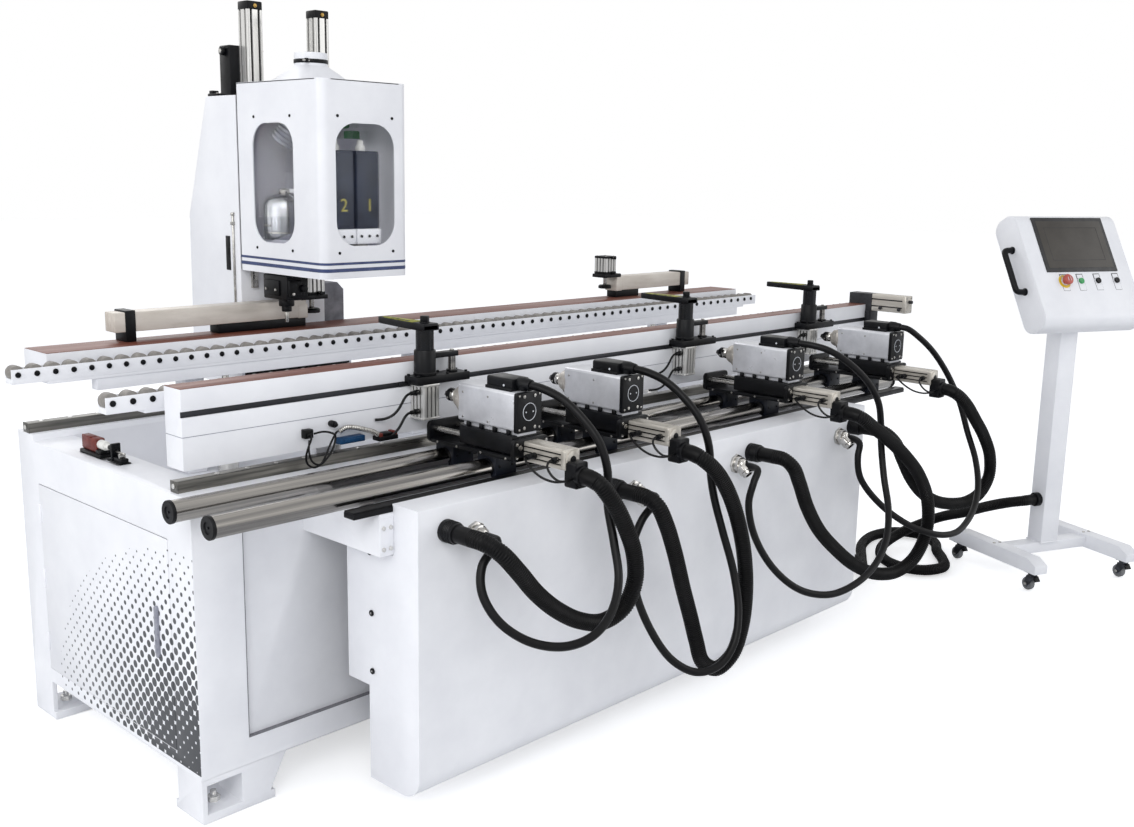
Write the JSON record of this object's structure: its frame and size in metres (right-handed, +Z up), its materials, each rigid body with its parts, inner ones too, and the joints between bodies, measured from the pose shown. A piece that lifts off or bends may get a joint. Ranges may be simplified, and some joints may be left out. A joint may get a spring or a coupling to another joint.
{
  "type": "door lock drilling machine",
  "caption": "Bench machine that drills and mortises door edges: roller table, clamps, horizontal drilling units on guide bars, a column with a drilling head and a console on casters.",
  "frame": {"origin": "on the floor, below the middle of the machine with its console, the hoses left out", "axes": "+X along the machine from its door end to the console, +Y from the operator to the column, +Z up"},
  "size_m": [3.7904, 2.0812, 2.01],
  "materials": {
    "white_paint": "satin powder coat",
    "black_paint": "satin black",
    "chromed_steel": "ground and chromed",
    "cast_aluminium": "machined and anodised",
    "beige_aluminium": "satin anodised",
    "clear_plastic": "clear sheet",
    "black_plastic": "matt black",
    "red_plastic": "satin red",
    "green_plastic": "satin green",
    "grey_rubber": "matt grey",
    "laminate": "brown laminate"
  },
  "bodies": {
    "base": {"base_cabinet": "white_paint", "guide_bar_front": "chromed_steel", "guide_bar_rear": "chromed_steel", "front_apron": "white_paint", "front_beam": "white_paint", "rear_beam": "white_paint", "clamp_cylinder_1": "cast_aluminium", "clamp_cylinder_2": "cast_aluminium", "clamp_cylinder_3": "cast_aluminium", "rear_clamp_bar_1": "beige_aluminium", "rear_clamp_bar_2": "beige_aluminium", "console_stand": "white_paint", "console_box": "white_paint", "unit_conduit_1": "black_plastic", "unit_conduit_2": "black_plastic", "unit_conduit_3": "black_plastic", "unit_conduit_4": "black_plastic", "motor_cable_1": "black_plastic", "motor_cable_2": "black_plastic", "motor_cable_3": "black_plastic", "motor_cable_4": "black_plastic", "console_conduit": "black_plastic"},
    "door": {"cabinet_door": "white_paint"},
    "column": {"column_body": "white_paint"},
    "head": {"head_housing": "white_paint", "head_frame": "white_paint", "head_window_guard": "clear_plastic"},
    "spindle_1": {"spindle_unit_1": "black_paint"},
    "spindle_2": {"spindle_unit_2": "black_paint"},
    "roller_table": {"roller_rail_rear": "white_paint", "roller_rail_front": "white_paint"},
    "clamp_1": {"clamp_arm_1": "black_paint"},
    "clamp_2": {"clamp_arm_2": "black_paint"},
    "clamp_3": {"clamp_arm_3": "black_paint"},
    "rear_clamp_1": {"rear_clamp_foot_1": "black_paint"},
    "rear_clamp_2": {"rear_clamp_foot_2": "black_paint"},
    "carriage_1": {"carriage_1": "black_paint"},
    "motor_1": {"motor_1": "cast_aluminium"},
    "chuck_1": {"chuck_1": "chromed_steel"},
    "carriage_2": {"carriage_2": "black_paint"},
    "motor_2": {"motor_2": "cast_aluminium"},
    "chuck_2": {"chuck_2": "chromed_steel"},
    "carriage_3": {"carriage_3": "black_paint"},
    "motor_3": {"motor_3": "cast_aluminium"},
    "chuck_3": {"chuck_3": "chromed_steel"},
    "carriage_4": {"carriage_4": "black_paint"},
    "motor_4": {"motor_4": "cast_aluminium"},
    "chuck_4": {"chuck_4": "chromed_steel"},
    "emergency_stop": {"emergency_stop": "red_plastic"},
    "button_1": {"button_1": "green_plastic"},
    "button_2": {"button_2": "black_plastic"},
    "button_3": {"button_3": "black_plastic"},
    "caster_1": {"caster_fork_1": "chromed_steel"},
    "wheel_1": {"caster_wheel_1": "grey_rubber"},
    "caster_2": {"caster_fork_2": "chromed_steel"},
    "wheel_2": {"caster_wheel_2": "grey_rubber"},
    "caster_3": {"caster_fork_3": "chromed_steel"},
    "wheel_3": {"caster_wheel_3": "grey_rubber"},
    "caster_4": {"caster_fork_4": "chromed_steel"},
    "wheel_4": {"caster_wheel_4": "grey_rubber"}
  },
  "joints": [
    {"name": "door_hinge", "type": "hinge", "parent": "base", "child": "door", "pos_m": [-1.80316, 0.65059, 0.412], "axis": [0, 0, -1], "range_deg": [0, 110]},
    {"name": "column_slide", "type": "slide", "parent": "base", "child": "column", "axis": [1, 0, 0], "range_m": [-0.55, 1.5]},
    {"name": "head_slide", "type": "slide", "parent": "column", "child": "head", "axis": [0, 0, 1], "range_m": [0, 0.08]},
    {"name": "spindle_plunge_1", "type": "slide", "parent": "head", "child": "spindle_1", "axis": [0, 0, 1], "range_m": [-0.12, 0]},
    {"name": "spindle_plunge_2", "type": "slide", "parent": "head", "child": "spindle_2", "axis": [0, 0, 1], "range_m": [-0.12, 0]},
    {"name": "roller_lift", "type": "slide", "parent": "base", "child": "roller_table", "axis": [0, 0, 1], "range_m": [0, 0.03]},
    {"name": "clamp_press_1", "type": "slide", "parent": "base", "child": "clamp_1", "axis": [0, 0, 1], "range_m": [-0.05, 0]},
    {"name": "clamp_press_2", "type": "slide", "parent": "base", "child": "clamp_2", "axis": [0, 0, 1], "range_m": [-0.05, 0]},
    {"name": "clamp_press_3", "type": "slide", "parent": "base", "child": "clamp_3", "axis": [0, 0, 1], "range_m": [-0.05, 0]},
    {"name": "rear_clamp_press_1", "type": "slide", "parent": "base", "child": "rear_clamp_1", "axis": [0, 0, 1], "range_m": [-0.033, 0]},
    {"name": "rear_clamp_press_2", "type": "slide", "parent": "base", "child": "rear_clamp_2", "axis": [0, 0, 1], "range_m": [-0.033, 0]},
    {"name": "unit_slide_1", "type": "slide", "parent": "base", "child": "carriage_1", "axis": [1, 0, 0], "range_m": [-0.25, 0.15]},
    {"name": "motor_feed_1", "type": "slide", "parent": "carriage_1", "child": "motor_1", "axis": [0, 1, 0], "range_m": [0, 0.045]},
    {"name": "chuck_spin_1", "type": "hinge", "parent": "motor_1", "child": "chuck_1", "pos_m": [-1.06616, -0.18541, 0.944], "axis": [0, 1, 0], "continuous": true},
    {"name": "unit_slide_2", "type": "slide", "parent": "base", "child": "carriage_2", "axis": [1, 0, 0], "range_m": [-0.15, 0.2]},
    {"name": "motor_feed_2", "type": "slide", "parent": "carriage_2", "child": "motor_2", "axis": [0, 1, 0], "range_m": [0, 0.045]},
    {"name": "chuck_spin_2", "type": "hinge", "parent": "motor_2", "child": "chuck_2", "pos_m": [-0.67716, -0.18541, 0.944], "axis": [0, 1, 0], "continuous": true},
    {"name": "unit_slide_3", "type": "slide", "parent": "base", "child": "carriage_3", "axis": [1, 0, 0], "range_m": [-0.2, 0.15]},
    {"name": "motor_feed_3", "type": "slide", "parent": "carriage_3", "child": "motor_3", "axis": [0, 1, 0], "range_m": [0, 0.045]},
    {"name": "chuck_spin_3", "type": "hinge", "parent": "motor_3", "child": "chuck_3", "pos_m": [0.10884, -0.18541, 0.944], "axis": [0, 1, 0], "continuous": true},
    {"name": "unit_slide_4", "type": "slide", "parent": "base", "child": "carriage_4", "axis": [1, 0, 0], "range_m": [-0.2, 0.02]},
    {"name": "motor_feed_4", "type": "slide", "parent": "carriage_4", "child": "motor_4", "axis": [0, 1, 0], "range_m": [0, 0.045]},
    {"name": "chuck_spin_4", "type": "hinge", "parent": "motor_4", "child": "chuck_4", "pos_m": [0.74284, -0.18541, 0.944], "axis": [0, 1, 0], "continuous": true},
    {"name": "emergency_stop_press", "type": "slide", "parent": "base", "child": "emergency_stop", "axis": [0.3522, 0.7912, -0.5], "range_m": [0, 0.004], "stiffness_N_per_m": 600, "springref_m": -0.01},
    {"name": "button_press_1", "type": "slide", "parent": "base", "child": "button_1", "axis": [0.3522, 0.7912, -0.5], "range_m": [0, 0.003], "stiffness_N_per_m": 300, "springref_m": -0.01},
    {"name": "button_press_2", "type": "slide", "parent": "base", "child": "button_2", "axis": [0.3522, 0.7912, -0.5], "range_m": [0, 0.003], "stiffness_N_per_m": 300, "springref_m": -0.01},
    {"name": "button_press_3", "type": "slide", "parent": "base", "child": "button_3", "axis": [0.3522, 0.7912, -0.5], "range_m": [0, 0.003], "stiffness_N_per_m": 300, "springref_m": -0.01},
    {"name": "caster_swivel_1", "type": "hinge", "parent": "base", "child": "caster_1", "pos_m": [1.43582, -0.44137, 0.065], "axis": [0, 0, 1], "continuous": true},
    {"name": "wheel_roll_1", "type": "hinge", "parent": "caster_1", "child": "wheel_1", "pos_m": [1.44314, -0.42492, 0.025], "axis": [0.9135, -0.4067, 0], "continuous": true},
    {"name": "caster_swivel_2", "type": "hinge", "parent": "base", "child": "caster_2", "pos_m": [1.27312, -0.80679, 0.065], "axis": [0, 0, 1], "continuous": true},
    {"name": "wheel_roll_2", "type": "hinge", "parent": "caster_2", "child": "wheel_2", "pos_m": [1.28044, -0.79034, 0.025], "axis": [0.9135, -0.4067, 0], "continuous": true},
    {"name": "caster_swivel_3", "type": "hinge", "parent": "base", "child": "caster_3", "pos_m": [1.68787, -0.99144, 0.065], "axis": [0, 0, 1], "continuous": true},
    {"name": "wheel_roll_3", "type": "hinge", "parent": "caster_3", "child": "wheel_3", "pos_m": [1.69519, -0.975, 0.025], "axis": [0.9135, -0.4067, 0], "continuous": true},
    {"name": "caster_swivel_4", "type": "hinge", "parent": "base", "child": "caster_4", "pos_m": [1.85057, -0.62603, 0.065], "axis": [0, 0, 1], "continuous": true},
    {"name": "wheel_roll_4", "type": "hinge", "parent": "caster_4", "child": "wheel_4", "pos_m": [1.85789, -0.60958, 0.025], "axis": [0.9135, -0.4067, 0], "continuous": true}
  ]
}
